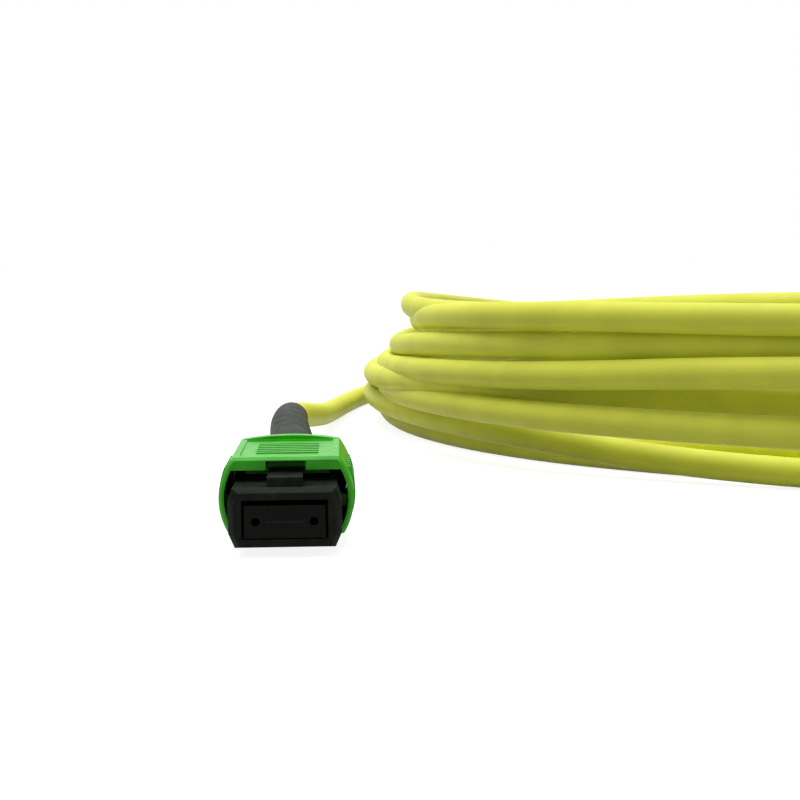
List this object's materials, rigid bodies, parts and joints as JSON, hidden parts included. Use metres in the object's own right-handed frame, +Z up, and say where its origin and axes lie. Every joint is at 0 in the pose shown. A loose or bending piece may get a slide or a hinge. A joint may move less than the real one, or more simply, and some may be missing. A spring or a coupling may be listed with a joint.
{
  "type": "fibre ribbon connector with coiled cord",
  "caption": "Rectangular multi-fibre push-pull connector with a sliding outer sleeve and sprung ferrule, on a coiled round cord that ends in a second one.",
  "frame": {"origin": "middle of the ferrule's end face, between its two guide holes", "axes": "+Y from the mating face towards the cable, +Z up, the side the key is on"},
  "size_m": [0.1771, 0.214, 0.0206],
  "materials": {
    "green_plastic": "semi-gloss moulded",
    "black_plastic": "satin moulded",
    "ferrule_resin": "ground and polished filled resin",
    "glass_fibre": "polished",
    "boot_rubber": "satin soft rubber",
    "sleeve_rubber": "soft rubber",
    "spring_steel": "bright drawn wire",
    "crimp_metal": "satin",
    "aramid_yarn": "woven threads",
    "fibre_coating": "ribbon matrix",
    "yellow_jacket": "semi-matte cable jacket"
  },
  "bodies": {
    "plug": {"ferrule_spring": "spring_steel", "fibre_ribbon": "fibre_coating", "strength_yarn": "aramid_yarn", "coupling_spring_left": "spring_steel", "coupling_spring_right": "spring_steel", "inner_housing": "black_plastic", "spring_push": "black_plastic", "crimp_ring": "crimp_metal", "boot": "boot_rubber", "cable_lead": "yellow_jacket", "cable_coil": "yellow_jacket", "far_inner_housing": "black_plastic", "far_spring_push": "black_plastic", "far_crimp_ring": "crimp_metal", "far_boot": "boot_rubber", "far_cable_lead": "yellow_jacket"},
    "outer_coupling": {"coupling": "green_plastic"},
    "ferrule_group": {"ferrule": "ferrule_resin", "fibres": "glass_fibre", "ferrule_boot": "sleeve_rubber", "pin_keeper": "black_plastic"},
    "far_outer_coupling": {"far_coupling": "green_plastic"},
    "far_ferrule_group": {"far_ferrule": "ferrule_resin"}
  },
  "joints": [
    {"name": "coupling_slide", "type": "slide", "parent": "plug", "child": "outer_coupling", "axis": [0, 1, 0], "range_m": [0, 0.0025], "stiffness_N_per_m": 600, "springref_m": -0.001, "deforming": ["coupling_spring_left", "coupling_spring_right"]},
    {"name": "ferrule_float", "type": "slide", "parent": "plug", "child": "ferrule_group", "axis": [0, 1, 0], "range_m": [0, 0.0005], "stiffness_N_per_m": 2000, "springref_m": -0.001, "deforming": ["ferrule_spring", "fibre_ribbon"]},
    {"name": "far_coupling_slide", "type": "slide", "parent": "plug", "child": "far_outer_coupling", "axis": [-0.7218, -0.6921, 0], "range_m": [0, 0.0025], "stiffness_N_per_m": 600, "springref_m": -0.001},
    {"name": "far_ferrule_float", "type": "slide", "parent": "plug", "child": "far_ferrule_group", "axis": [-0.7218, -0.6921, 0], "range_m": [0, 0.0005], "stiffness_N_per_m": 2000, "springref_m": -0.001}
  ]
}
